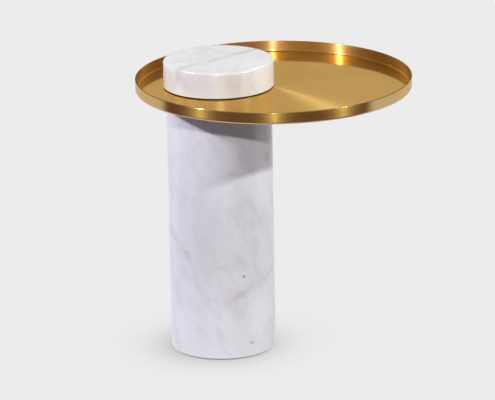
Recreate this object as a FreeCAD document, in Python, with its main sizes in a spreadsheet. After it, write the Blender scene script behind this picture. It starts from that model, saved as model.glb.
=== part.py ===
"""Side table: a marble column, a round brass tray that swivels off centre, and a marble cap over the tray.

Millimetres, +Z up. The origin is on the floor, on the axis of the column. The tray's centre lies along +X.
A tie rod clamps two steel plates against the ends of the hollow column. Above the column the same rod
carries a sleeve: the tray's bush turns on it, and the cap's threaded flange screws down against its end.
"""

import FreeCAD, Part
import Sketcher
import os
import re

# Driving dimensions: each becomes a plain number in the Sizes sheet.
SIZES = {
    # marble column
    "column_diameter": 192,
    "column_length": 488,
    "column_wall": 25,
    "column_edge_radius": 1.5,
    "seat_ledge": 9,
    # pad under the column
    "pad_thickness": 2,
    "pad_inset": 3,
    "pad_edge_chamfer": 0.5,
    # clamping plates and their gaskets
    "plate_thickness": 6,
    "plate_clearance": 0.5,
    "plate_hole_clearance": 0.5,
    "gasket_thickness": 2,
    "gasket_clearance": 0.5,
    # tie rod, nuts and washers
    "rod_diameter": 12,
    "rod_chamfer": 1,
    "rod_tail": 1.5,
    "rod_pad_gap": 2,
    "thread_clearance": 0.05,
    "thread_engagement": 21,
    "nut_across_flats": 19,
    "nut_height": 10,
    "nut_chamfer": 1.2,
    "washer_diameter": 24,
    "washer_thickness": 2.5,
    "washer_clearance": 0.5,
    # sleeve on the rod
    "sleeve_diameter": 24,
    "sleeve_clearance": 0.3,
    # thrust rings below and above the tray
    "lower_ring_inset": 3,
    "lower_ring_thickness": 1.5,
    "upper_ring_inset": 10,
    "upper_ring_width": 8,
    "upper_ring_clearance": 0.3,
    "ring_groove_depth": 1,
    "cap_gap": 1.5,
    # tray
    "tray_diameter": 500,
    "tray_offset": 100,
    "tray_sheet": 2,
    "tray_depth": 19.5,
    "tray_bend_radius": 2.5,
    "tray_lip_radius": 0.6,
    "tray_hole_clearance": 0.2,
    # hub under the tray, its bush and its screws
    "hub_plate_thickness": 4,
    "hub_seat_gap": 9,
    "hub_boss_wall": 3,
    "hub_boss_drop": 10,
    "hub_nut_gap": 3,
    "bush_wall": 3,
    "bush_flange_width": 5,
    "bush_flange_thickness": 1,
    "running_clearance": 0.05,
    "fit_clearance": 0.02,
    "hub_screw_count": 4,
    "hub_screw_diameter": 5,
    "hub_screw_hole_clearance": 0.25,
    "hub_screw_head_diameter": 10,
    "hub_screw_head_height": 3.3,
    "hub_screw_head_chamfer": 1,
    "hub_screw_socket": 3,
    "hub_screw_socket_depth": 1.6,
    "hub_screw_gap": 2,
    # marble cap
    "cap_diameter": 200,
    "cap_thickness": 48,
    "cap_top_radius": 4.5,
    "cap_bottom_radius": 1,
    "cap_recess_clearance": 3,
    "cap_bore_clearance": 0.5,
    "cap_bore_end_gap": 3,
    # threaded flange in the cap, its screws and their inserts
    "flange_thickness": 5,
    "flange_margin": 6.5,
    "flange_boss_diameter": 22,
    "flange_boss_height": 20,
    "flange_screw_count": 4,
    "flange_screw_circle": 66,
    "flange_screw_diameter": 6,
    "flange_screw_hole_clearance": 0.3,
    "flange_screw_head_diameter": 11,
    "flange_screw_head_height": 3.3,
    "flange_screw_head_chamfer": 1,
    "flange_screw_head_gap": 1.2,
    "flange_screw_socket": 4,
    "flange_screw_socket_depth": 2,
    "flange_screw_end_gap": 2,
    "insert_wall": 1.5,
    "insert_length": 14,
    "insert_end_gap": 1,
}

# Radii and levels that follow from the driving dimensions: each becomes a formula in the Derived sheet.
DERIVED = {
    # column, from the outside in
    "column_radius": "column_diameter / 2",
    "bore_radius": "column_radius - column_wall",
    "seat_radius": "bore_radius + seat_ledge",
    "pad_radius": "column_radius - pad_inset",
    "plate_radius": "seat_radius - plate_clearance",
    "gasket_inner_radius": "bore_radius + gasket_clearance",
    "lower_ring_outer_radius": "column_radius - lower_ring_inset",
    "lower_ring_inner_radius": "seat_radius + lower_ring_inset",
    # rod, sleeve, bush, hub and tray hole, from the inside out
    "rod_radius": "rod_diameter / 2",
    "thread_radius": "rod_radius + thread_clearance",
    "plate_hole_radius": "rod_radius + plate_hole_clearance",
    "washer_hole_radius": "rod_radius + washer_clearance",
    "sleeve_bore_radius": "rod_radius + sleeve_clearance",
    "sleeve_radius": "sleeve_diameter / 2",
    "bush_bore_radius": "sleeve_radius + running_clearance",
    "bush_radius": "bush_bore_radius + bush_wall",
    "bush_flange_radius": "bush_radius + bush_flange_width",
    "hub_bore_radius": "bush_radius + fit_clearance",
    "hub_boss_radius": "hub_bore_radius + hub_boss_wall",
    "tray_hole_radius": "hub_boss_radius + tray_hole_clearance",
    "hub_radius": "seat_radius - hub_seat_gap",
    "tray_radius": "tray_diameter / 2",
    # cap flange, hub screws and cap recess, from the inside out
    "flange_boss_radius": "flange_boss_diameter / 2",
    "cap_bore_radius": "flange_boss_radius + cap_bore_clearance",
    "flange_screw_distance": "flange_screw_circle / 2",
    "flange_radius": "flange_screw_distance + flange_screw_head_diameter / 2 + flange_margin",
    "hub_screw_distance": "flange_radius + hub_screw_gap + hub_screw_head_diameter / 2",
    "cap_recess_radius": "hub_screw_distance + hub_screw_head_diameter / 2 + cap_recess_clearance",
    "cap_radius": "cap_diameter / 2",
    "upper_ring_outer_radius": "cap_radius - upper_ring_inset",
    "upper_ring_inner_radius": "upper_ring_outer_radius - upper_ring_width",
    "groove_inner_radius": "upper_ring_inner_radius - upper_ring_clearance",
    "groove_outer_radius": "upper_ring_outer_radius + upper_ring_clearance",
    "insert_bore_radius": "flange_screw_diameter / 2 + thread_clearance",
    "insert_radius": "insert_bore_radius + insert_wall",
    # levels at the foot of the column, from the floor up
    "column_bottom": "pad_thickness",
    "rod_bottom": "column_bottom + rod_pad_gap",
    "bottom_nut_bottom": "rod_bottom + rod_tail",
    "bottom_nut_top": "bottom_nut_bottom + nut_height",
    "bottom_plate_bottom": "bottom_nut_top + washer_thickness",
    "bottom_plate_top": "bottom_plate_bottom + plate_thickness",
    "bottom_seat": "bottom_plate_top + gasket_thickness",
    # levels from the head of the column up to the rim of the tray
    "column_top": "column_bottom + column_length",
    "tray_underside": "column_top + lower_ring_thickness",
    "tray_floor": "tray_underside + tray_sheet",
    "tray_rim_top": "tray_floor + tray_depth",
    "bush_flange_top": "tray_floor + bush_flange_thickness",
    # levels from the tray down into the column
    "hub_plate_bottom": "tray_underside - hub_plate_thickness",
    "hub_boss_bottom": "hub_plate_bottom - hub_boss_drop",
    "top_nut_top": "hub_boss_bottom - hub_nut_gap",
    "top_nut_bottom": "top_nut_top - nut_height",
    "top_plate_top": "top_nut_bottom - washer_thickness",
    "top_plate_bottom": "top_plate_top - plate_thickness",
    "top_seat": "top_plate_bottom - gasket_thickness",
    # levels in the cap
    "cap_bottom": "tray_floor + cap_gap",
    "cap_top": "cap_bottom + cap_thickness",
    "groove_top": "cap_bottom + ring_groove_depth",
    "flange_screw_head_bottom": "tray_floor + flange_screw_head_gap",
    "flange_bottom": "flange_screw_head_bottom + flange_screw_head_height",
    "cap_recess_top": "flange_bottom + flange_thickness",
    "rod_top": "flange_bottom + thread_engagement",
    "flange_boss_top": "cap_recess_top + flange_boss_height",
    "cap_bore_top": "flange_boss_top + cap_bore_end_gap",
    "insert_top": "cap_recess_top + insert_length",
    "insert_hole_top": "insert_top + insert_end_gap",
    "flange_screw_top": "insert_top - flange_screw_end_gap",
    "hub_screw_head_top": "tray_floor + hub_screw_head_height",
}

AXIS = "0"
FULL_TURN = 360
HEXAGON_SIDES = 6
MATCH = 1e-6

doc = FreeCAD.newDocument("side_table")


def bound(text):
    """The text of an expression with each size and derived value named in full, sheet first."""
    def in_full(word):
        name = word.group(0)
        if name in SIZES:
            return "Sizes." + name
        return "Derived." + name if name in DERIVED else name
    return re.sub(r"[a-z][a-z_0-9]*", in_full, text)


def fill_sheet(name, entries):
    """A spreadsheet with a name and a value on each row, the value's cell having that name as its alias."""
    sheet = doc.addObject("Spreadsheet::Sheet", name)
    for row, (alias, content) in enumerate(entries.items(), start=1):
        sheet.set(f"A{row}", alias)
        sheet.set(f"B{row}", content)
        sheet.setAlias(f"B{row}", alias)
    return sheet


sizes = fill_sheet("Sizes", {alias: str(number) for alias, number in SIZES.items()})
doc.recompute()
fill_sheet("Derived", {alias: "=" + bound(formula) for alias, formula in DERIVED.items()})
doc.recompute()


def value(text):
    """What an expression comes to, in millimetres."""
    return float(sizes.evalExpression(bound(text)))


def new_body(label):
    body = doc.addObject("PartDesign::Body", label)
    body.Label = label
    return body


def origin_feature(body, role):
    return next(item for item in body.Origin.OriginFeatures if item.Role == role)


def outline_sketch(body, name, plane, points):
    """A closed outline of straight lines on one of the body's planes. A corner is a pair of expressions."""
    sketch = body.newObject("Sketcher::SketchObject", name)
    sketch.AttachmentSupport = [(origin_feature(body, plane), "")]
    sketch.MapMode = "FlatFace"
    corners = [FreeCAD.Vector(value(across), value(up), 0) for across, up in points]
    for start, end in zip(corners, corners[1:] + corners[:1]):
        sketch.addGeometry(Part.LineSegment(start, end), False)
    for line in range(len(corners)):
        line_before = (line - 1) % len(corners)
        sketch.addConstraint(Sketcher.Constraint("Coincident", line_before, 2, line, 1))
    for line, (across, up) in enumerate(points):
        if across == AXIS:
            sketch.addConstraint(Sketcher.Constraint("PointOnObject", line, 1, -2))
        else:
            place_corner(sketch, "DistanceX", line, across)
        if up == AXIS:
            sketch.addConstraint(Sketcher.Constraint("PointOnObject", line, 1, -1))
        else:
            place_corner(sketch, "DistanceY", line, up)
    return sketch


def place_corner(sketch, kind, line, text):
    """Holds the first end of a line at a distance from the sketch's origin."""
    number = sketch.addConstraint(Sketcher.Constraint(kind, -1, 1, line, 1, value(text)))
    sketch.setExpression(f"Constraints[{number}]", bound(text))


def move_sketch(sketch, **distances):
    """Moves a sketch off its plane: x and y along the plane, z off it."""
    for direction, text in distances.items():
        sketch.setExpression(f"AttachmentOffset.Base.{direction}", bound(text))
    doc.recompute()


def turned(label, points, distance=None):
    """A body turned from a half section of (radius, level) corners. distance is from Z to its own axis."""
    body = new_body(label)
    section = outline_sketch(body, label + "_section", "XZ_Plane", points)
    if distance:
        move_sketch(section, x=distance)
    turning = body.newObject("PartDesign::Revolution", label + "_turning")
    turning.Profile = section
    turning.ReferenceAxis = (section, ["V_Axis"])
    turning.Angle = FULL_TURN
    doc.recompute()
    return body


def circle_edges(shape, radius, level, distance=AXIS):
    """Names of the edges of a shape that are circles of this radius, at this level, about an axis on X."""
    centre = FreeCAD.Vector(value(distance), 0, value(level))
    return [
        f"Edge{number}"
        for number, edge in enumerate(shape.Edges, start=1)
        if isinstance(edge.Curve, Part.Circle)
        and abs(edge.Curve.Radius - value(radius)) < MATCH
        and edge.Curve.Center.distanceToPoint(centre) < MATCH
    ]


def dress(body, kind, size, circles, distance=AXIS):
    """Rounds or chamfers the edges at circles, given as (radius, level), and checks that it took effect."""
    base = body.Tip
    before = base.Shape.Volume
    names = []
    for radius, level in circles:
        names += circle_edges(base.Shape, radius, level, distance)
    feature = body.newObject("PartDesign::" + kind, f"{body.Name}_{kind.lower()}_{len(body.Group)}")
    feature.Base = (base, names)
    feature.setExpression("Radius" if kind == "Fillet" else "Size", bound(size))
    doc.recompute()
    if len(names) < len(circles) or abs(feature.Shape.Volume - before) < MATCH:
        raise RuntimeError(f"{body.Label}: an edge was not dressed")
    return feature


def cut(body, sketch, upwards=False, depth=None):
    """Cuts a sketch out of the body, down from its plane or up from it, right through or to a depth."""
    before = body.Shape.Volume
    pocket = body.newObject("PartDesign::Pocket", f"{sketch.Name}_cut")
    pocket.Profile = sketch
    pocket.Reversed = upwards
    if depth:
        pocket.Type = "Length"
        pocket.setExpression("Length", bound(depth))
    else:
        pocket.Type = "ThroughAll"
    doc.recompute()
    if body.Shape.Volume > before - MATCH:
        raise RuntimeError(f"{body.Label}: {sketch.Name} cut nothing")
    return pocket


def round_hole(body, name, radius, level, distance=AXIS, upwards=False, depth=None):
    """A round hole along Z, from a level, about Z or about an axis at a distance along X."""
    sketch = body.newObject("Sketcher::SketchObject", name)
    sketch.AttachmentSupport = [(origin_feature(body, "XY_Plane"), "")]
    sketch.MapMode = "FlatFace"
    sketch.addGeometry(Part.Circle(FreeCAD.Vector(), FreeCAD.Vector(0, 0, 1), value(radius)), False)
    sketch.addConstraint(Sketcher.Constraint("Coincident", 0, 3, -1, 1))
    number = sketch.addConstraint(Sketcher.Constraint("Radius", 0, value(radius)))
    sketch.setExpression(f"Constraints[{number}]", bound(radius))
    move_sketch(sketch, x=distance, z=level)
    return cut(body, sketch, upwards, depth)


def spread(body, features, count):
    """Repeats features evenly round Z."""
    pattern = body.newObject("PartDesign::PolarPattern", body.Name + "_spread")
    pattern.Originals = features
    pattern.Axis = (origin_feature(body, "Z_Axis"), [""])
    pattern.Angle = FULL_TURN
    pattern.setExpression("Occurrences", bound(count))
    body.Tip = pattern
    doc.recompute()
    return body


def hexagon_points(across_flats):
    """Corners of a hexagon about the sketch's origin, as expressions."""
    corner = f"({across_flats}) / sqrt(3)"
    flat = f"({across_flats}) / 2"
    return [
        (corner, AXIS),
        (f"{corner} / 2", flat),
        (f"-{corner} / 2", flat),
        (f"-{corner}", AXIS),
        (f"-{corner} / 2", f"-{flat}"),
        (f"{corner} / 2", f"-{flat}"),
    ]


def disc(label, radius, bottom, top, hole=None):
    """A flat disc or ring between two levels."""
    inner = hole or AXIS
    return turned(label, [(inner, bottom), (radius, bottom), (radius, top), (inner, top)])


def marble_column():
    body = turned("marble_column", [
        ("seat_radius", "column_bottom"),
        ("column_radius", "column_bottom"),
        ("column_radius", "column_top"),
        ("seat_radius", "column_top"),
        ("seat_radius", "top_seat"),
        ("bore_radius", "top_seat"),
        ("bore_radius", "bottom_seat"),
        ("seat_radius", "bottom_seat"),
    ])
    ends = [("column_radius", "column_bottom"), ("column_radius", "column_top")]
    dress(body, "Fillet", "column_edge_radius", ends)
    return body


def base_pad():
    body = disc("base_pad", "pad_radius", AXIS, "column_bottom")
    dress(body, "Chamfer", "pad_edge_chamfer", [("pad_radius", AXIS)])
    return body


def clamping_plate(label, bottom, top):
    return disc(label, "plate_radius", bottom, top, "plate_hole_radius")


def gasket(label, bottom, top):
    return disc(label, "plate_radius", bottom, top, "gasket_inner_radius")


def washer(label, bottom, top):
    return disc(label, "washer_diameter / 2", bottom, top, "washer_hole_radius")


def hex_nut(label, bottom, top):
    """A nut padded from a hexagon, its corners turned off at both ends."""
    body = new_body(label)
    flats = outline_sketch(body, label + "_flats", "XY_Plane", hexagon_points("nut_across_flats"))
    move_sketch(flats, z=bottom)
    pad = body.newObject("PartDesign::Pad", label + "_blank")
    pad.Profile = flats
    pad.setExpression("Length", bound(f"{top} - {bottom}"))
    doc.recompute()
    round_hole(body, label + "_thread", "thread_radius", top)
    corner = "nut_across_flats / sqrt(3)"
    for end, inside in ((bottom, f"{bottom} + nut_chamfer"), (top, f"{top} - nut_chamfer")):
        turned_off = outline_sketch(body, f"{label}_corner_{end}", "XZ_Plane", [
            ("nut_across_flats / 2", end),
            (f"{corner} + nut_chamfer", end),
            (f"{corner} + nut_chamfer", inside),
            (corner, inside),
        ])
        before = body.Shape.Volume
        groove = body.newObject("PartDesign::Groove", f"{label}_chamfer_{end}")
        groove.Profile = turned_off
        groove.ReferenceAxis = (turned_off, ["V_Axis"])
        groove.Angle = FULL_TURN
        doc.recompute()
        if groove.Shape.Volume > before - MATCH:
            raise RuntimeError(f"{label}: a corner was not turned off")
    return body


def tie_rod():
    shoulder = "rod_radius - rod_chamfer"
    return turned("tie_rod", [
        (AXIS, "rod_bottom"),
        (shoulder, "rod_bottom"),
        ("rod_radius", "rod_bottom + rod_chamfer"),
        ("rod_radius", "rod_top - rod_chamfer"),
        (shoulder, "rod_top"),
        (AXIS, "rod_top"),
    ])


def spindle_sleeve():
    return disc("spindle_sleeve", "sleeve_radius", "top_nut_top", "flange_bottom", "sleeve_bore_radius")


def thrust_rings():
    """A ring on the column that carries the tray, and a ring on the tray that carries the cap."""
    return [
        disc("lower_thrust_ring", "lower_ring_outer_radius", "column_top", "tray_underside",
             "lower_ring_inner_radius"),
        disc("upper_thrust_ring", "upper_ring_outer_radius", "tray_floor", "groove_top",
             "upper_ring_inner_radius"),
    ]


def tray_pan():
    """A spun pan about its own axis, with the hub's hole and screw holes about the column's axis."""
    wall = "tray_radius - tray_sheet"
    body = turned("tray_pan", [
        (AXIS, "tray_underside"),
        ("tray_radius", "tray_underside"),
        ("tray_radius", "tray_rim_top"),
        (wall, "tray_rim_top"),
        (wall, "tray_floor"),
        (AXIS, "tray_floor"),
    ], "tray_offset")
    outside = "tray_bend_radius + tray_sheet"
    dress(body, "Fillet", outside, [("tray_radius", "tray_underside")], "tray_offset")
    dress(body, "Fillet", "tray_bend_radius", [(wall, "tray_floor")], "tray_offset")
    lip = [("tray_radius", "tray_rim_top"), (wall, "tray_rim_top")]
    dress(body, "Fillet", "tray_lip_radius", lip, "tray_offset")
    round_hole(body, "hub_hole", "tray_hole_radius", "tray_floor")
    radius = "hub_screw_diameter / 2 + hub_screw_hole_clearance"
    hole = round_hole(body, "hub_screw_hole", radius, "tray_floor", "hub_screw_distance")
    return spread(body, [hole], "hub_screw_count")


def tray_hub():
    """A flanged hub under the tray, its boss reaching up through the tray's hole."""
    body = turned("tray_hub", [
        ("hub_bore_radius", "hub_boss_bottom"),
        ("hub_boss_radius", "hub_boss_bottom"),
        ("hub_boss_radius", "hub_plate_bottom"),
        ("hub_radius", "hub_plate_bottom"),
        ("hub_radius", "tray_underside"),
        ("hub_boss_radius", "tray_underside"),
        ("hub_boss_radius", "tray_floor"),
        ("hub_bore_radius", "tray_floor"),
    ])
    radius = "hub_screw_diameter / 2 + thread_clearance"
    hole = round_hole(body, "hub_thread", radius, "tray_underside", "hub_screw_distance")
    return spread(body, [hole], "hub_screw_count")


def hub_bush():
    return turned("hub_bush", [
        ("bush_bore_radius", "hub_boss_bottom"),
        ("bush_radius", "hub_boss_bottom"),
        ("bush_radius", "tray_floor"),
        ("bush_flange_radius", "tray_floor"),
        ("bush_flange_radius", "bush_flange_top"),
        ("bush_bore_radius", "bush_flange_top"),
    ])


def socket_screws(label, family, seat, head_end, tip, distance):
    """A ring of socket screws. Heads stand from seat to head_end, and shanks run the other way to tip."""
    radius = f"{family}_diameter / 2"
    head = f"{family}_head_diameter / 2"
    chamfer = f"{family}_head_chamfer"
    upright = value(head_end) > value(seat)
    rim = f"{head_end} - {chamfer}" if upright else f"{head_end} + {chamfer}"
    points = [(AXIS, head_end), (f"{head} - {chamfer}", head_end), (head, rim), (head, seat),
              (radius, seat), (radius, tip), (AXIS, tip)]
    body = turned(label, points, distance)
    turning = body.Tip
    socket = outline_sketch(body, label + "_socket", "XY_Plane", hexagon_points(f"{family}_socket"))
    move_sketch(socket, x=distance, z=head_end)
    recess = cut(body, socket, upwards=not upright, depth=f"{family}_socket_depth")
    return spread(body, [turning, recess], f"{family}_count")


def marble_cap():
    """The cap, with a recess, a bore for the flange's boss, insert holes and a groove for its ring."""
    body = turned("marble_cap", [
        (AXIS, "cap_bore_top"),
        ("cap_bore_radius", "cap_bore_top"),
        ("cap_bore_radius", "cap_recess_top"),
        ("cap_recess_radius", "cap_recess_top"),
        ("cap_recess_radius", "cap_bottom"),
        ("groove_inner_radius", "cap_bottom"),
        ("groove_inner_radius", "groove_top"),
        ("groove_outer_radius", "groove_top"),
        ("groove_outer_radius", "cap_bottom"),
        ("cap_radius", "cap_bottom"),
        ("cap_radius", "cap_top"),
        (AXIS, "cap_top"),
    ])
    dress(body, "Fillet", "cap_top_radius", [("cap_radius", "cap_top")])
    dress(body, "Fillet", "cap_bottom_radius", [("cap_radius", "cap_bottom")])
    radius = "insert_radius + fit_clearance"
    depth = "insert_hole_top - cap_recess_top"
    hole = round_hole(body, "insert_hole", radius, "cap_recess_top", "flange_screw_distance", True, depth)
    return spread(body, [hole], "flange_screw_count")


def cap_flange():
    """A steel flange let into the cap, with a long threaded boss that screws down the tie rod."""
    body = turned("cap_flange", [
        ("thread_radius", "flange_bottom"),
        ("flange_radius", "flange_bottom"),
        ("flange_radius", "cap_recess_top"),
        ("flange_boss_radius", "cap_recess_top"),
        ("flange_boss_radius", "flange_boss_top"),
        ("thread_radius", "flange_boss_top"),
    ])
    radius = "flange_screw_diameter / 2 + flange_screw_hole_clearance"
    hole = round_hole(body, "flange_screw_hole", radius, "cap_recess_top", "flange_screw_distance")
    return spread(body, [hole], "flange_screw_count")


def cap_inserts():
    """Threaded inserts bonded into the cap, one for each of the flange's screws."""
    body = turned("cap_inserts", [
        ("insert_bore_radius", "cap_recess_top"),
        ("insert_radius", "cap_recess_top"),
        ("insert_radius", "insert_top"),
        ("insert_bore_radius", "insert_top"),
    ], "flange_screw_distance")
    return spread(body, [body.Tip], "flange_screw_count")


def check(sub_parts):
    """Stops the build if an object failed or a sub-part isn't one or more sound solids."""
    for item in doc.Objects:
        if "Invalid" in item.State or "Error" in item.State:
            raise RuntimeError(f"{item.Label} failed: {item.State}")
    for part in sub_parts:
        shape = part.Shape
        if shape.isNull() or not shape.isValid() or not shape.Solids:
            raise RuntimeError(f"{part.Label} is not a sound solid")


def main():
    sub_parts = [
        marble_column(),
        base_pad(),
        clamping_plate("bottom_plate", "bottom_plate_bottom", "bottom_plate_top"),
        clamping_plate("top_plate", "top_plate_bottom", "top_plate_top"),
        gasket("bottom_gasket", "bottom_plate_top", "bottom_seat"),
        gasket("top_gasket", "top_seat", "top_plate_bottom"),
        washer("bottom_washer", "bottom_nut_top", "bottom_plate_bottom"),
        washer("top_washer", "top_plate_top", "top_nut_bottom"),
        hex_nut("bottom_nut", "bottom_nut_bottom", "bottom_nut_top"),
        hex_nut("top_nut", "top_nut_bottom", "top_nut_top"),
        tie_rod(),
        spindle_sleeve(),
        *thrust_rings(),
        tray_pan(),
        tray_hub(),
        hub_bush(),
        socket_screws("hub_screws", "hub_screw", "tray_floor", "hub_screw_head_top", "hub_plate_bottom",
                      "hub_screw_distance"),
        marble_cap(),
        cap_flange(),
        socket_screws("cap_flange_screws", "flange_screw", "flange_bottom", "flange_screw_head_bottom",
                      "flange_screw_top", "flange_screw_distance"),
        cap_inserts(),
    ]
    doc.recompute()
    check(sub_parts)
    os.makedirs("parts", exist_ok=True)
    for part in sub_parts:
        part.Shape.exportStep(f"parts/{part.Label}.step")
        print(f"{part.Label}: {len(part.Shape.Solids)} solids, {part.Shape.Volume:.1f} mm3")


main()
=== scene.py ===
"""Side table: a marble column, a round brass tray that swivels off centre, and a marble cap over the tray.

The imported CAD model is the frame. The stone, the tray, the pad and the rings are modelled anew on it, and
the hardware inside keeps its CAD shape and gets a finish. Lengths are in metres, +Z is up, and the origin
is on the floor, on the axis of the column. Azimuths round the pieces are in degrees from +X.
"""

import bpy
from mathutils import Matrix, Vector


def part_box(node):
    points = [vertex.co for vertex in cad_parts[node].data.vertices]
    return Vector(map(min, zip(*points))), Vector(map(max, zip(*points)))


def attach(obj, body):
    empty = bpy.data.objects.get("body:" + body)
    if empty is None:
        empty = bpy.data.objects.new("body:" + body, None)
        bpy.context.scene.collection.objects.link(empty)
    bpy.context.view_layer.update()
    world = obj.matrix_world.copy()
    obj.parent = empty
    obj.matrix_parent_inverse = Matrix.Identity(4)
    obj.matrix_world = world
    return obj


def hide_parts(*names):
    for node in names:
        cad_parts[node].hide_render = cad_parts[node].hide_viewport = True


bl_info = {
    "name": "Marble and brass side table",
    "version": (1, 0, 0),
    "blender": (4, 5, 0),
    "location": "View3D > Sidebar > Side table",
    "description": "Models and finishes a marble side table with a swivelling brass tray",
    "category": "Object",
}

import math

import bmesh
import bpy
from bpy.props import FloatProperty, FloatVectorProperty, PointerProperty
from mathutils import Matrix, Vector

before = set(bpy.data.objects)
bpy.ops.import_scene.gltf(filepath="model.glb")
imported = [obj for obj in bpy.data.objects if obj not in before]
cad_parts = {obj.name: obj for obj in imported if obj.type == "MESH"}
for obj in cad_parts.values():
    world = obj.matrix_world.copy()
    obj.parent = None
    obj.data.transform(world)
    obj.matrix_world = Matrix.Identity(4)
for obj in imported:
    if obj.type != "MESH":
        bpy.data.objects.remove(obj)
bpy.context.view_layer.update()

TURN_STEPS = 256  # faces round a turned piece
HOLE_STEPS = 48  # faces round a drilled hole
ROUND_SEGMENTS = 8  # faces across a rounded edge
FLAT_BENDS = 4  # how many bends of the tray's floor are spun with its rim
HOLD = 0.001  # from the end of a rounding to the point that keeps the flat beside it flat
WELD = 1e-6  # points that lie nearer than this are one point
SHARP_ANGLE = math.radians(35)  # edges that bend more than this stay sharp

NOISE_MIDDLE = 0.5
BLACK = (0.0, 0.0, 0.0)
WHITE = (1.0, 1.0, 1.0)


def half_width(name):
    """Half the width of a CAD node, to the whole millimetre that its facets fall just short of."""
    low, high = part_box(name)
    return round((high.y - low.y) / 2, 3)


def bottom(name):
    """The lowest level of a CAD node."""
    return round(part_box(name)[0].z, 5)


def top(name):
    """The highest level of a CAD node."""
    return round(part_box(name)[1].z, 5)


def length(name, default, description):
    return FloatProperty(name=name, description=description, default=default, min=0.0, precision=4,
                         unit="LENGTH")


def colour(name, default, description):
    return FloatVectorProperty(name=name, description=description, default=default, size=3, min=0.0,
                               max=1.0, subtype="COLOR")


def amount(name, default, description):
    return FloatProperty(name=name, description=description, default=default, min=0.0, precision=3)


def angle(name, default, description):
    return FloatProperty(name=name, description=description, default=math.radians(default),
                         subtype="ANGLE")


class SideTableSizes(bpy.types.PropertyGroup):
    """Sizes of the pieces that are modelled here. Outer sizes start from the CAD model."""

    column_radius: length("Column radius", half_width("marble_column"), "Outside of the marble column")
    column_edge: length("Column edge", 0.0015, "Rounding at both ends of the column")
    bore_radius: length("Bore radius", 0.071, "Hollow of the column")
    seat_radius: length("Seat radius", 0.080, "Rebates that the clamping plates lie in")
    low_seat: length("Lower seat", 0.026, "Level of the rebate at the foot")
    high_seat: length("Upper seat", 0.454, "Level of the rebate at the head")
    pad_chamfer: length("Pad chamfer", 0.0005, "Chamfer under the edge of the rubber pad")
    tray_radius: length("Tray radius", half_width("tray_pan"), "Outside of the tray's rim")
    tray_offset: length("Tray offset", 0.1, "From the column's axis to the tray's own")
    tray_sheet: length("Tray sheet", 0.002, "Thickness of the brass")
    tray_bend: length("Tray bend", 0.0025, "Inside radius between the floor and the rim")
    tray_lip: length("Tray lip", 0.0006, "Rounding of the rim's upper edges")
    hub_hole: length("Hub hole", 0.01827, "Radius of the hole that the hub's boss passes through")
    screw_hole: length("Hub screw hole", 0.00275, "Radius of the holes for the hub's screws")
    screw_distance: length("Hub screw distance", 0.052, "From the column's axis to a hub screw")
    cap_radius: length("Cap radius", half_width("marble_cap"), "Outside of the marble cap")
    cap_top_edge: length("Cap top edge", 0.0045, "Rounding of the cap's upper edge")
    cap_low_edge: length("Cap low edge", 0.0010, "Rounding of the cap's lower edge")
    recess_radius: length("Recess radius", 0.060, "Recess under the cap for the flange")
    recess_top: length("Recess top", 0.503, "Level of the recess")
    boss_bore: length("Boss bore", 0.0115, "Blind bore in the cap for the flange's boss")
    boss_bore_top: length("Boss bore top", 0.526, "Level of the end of the blind bore")
    insert_hole: length("Insert hole", 0.00457, "Radius of the holes for the threaded inserts")
    insert_hole_top: length("Insert hole top", 0.518, "Level of the end of the insert holes")
    insert_distance: length("Insert distance", 0.033, "From the cap's axis to an insert")
    ring_play: length("Ring play", 0.0003, "Clearance of the upper ring in its groove")
    low_ring_width: length("Lower ring width", 0.010, "From the inside to the outside of the lower ring")
    high_ring_width: length("Upper ring width", 0.008, "From the inside to the outside of the upper ring")
    groove_depth: length("Groove depth", 0.001, "Depth of the upper ring's groove in the cap")


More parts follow.
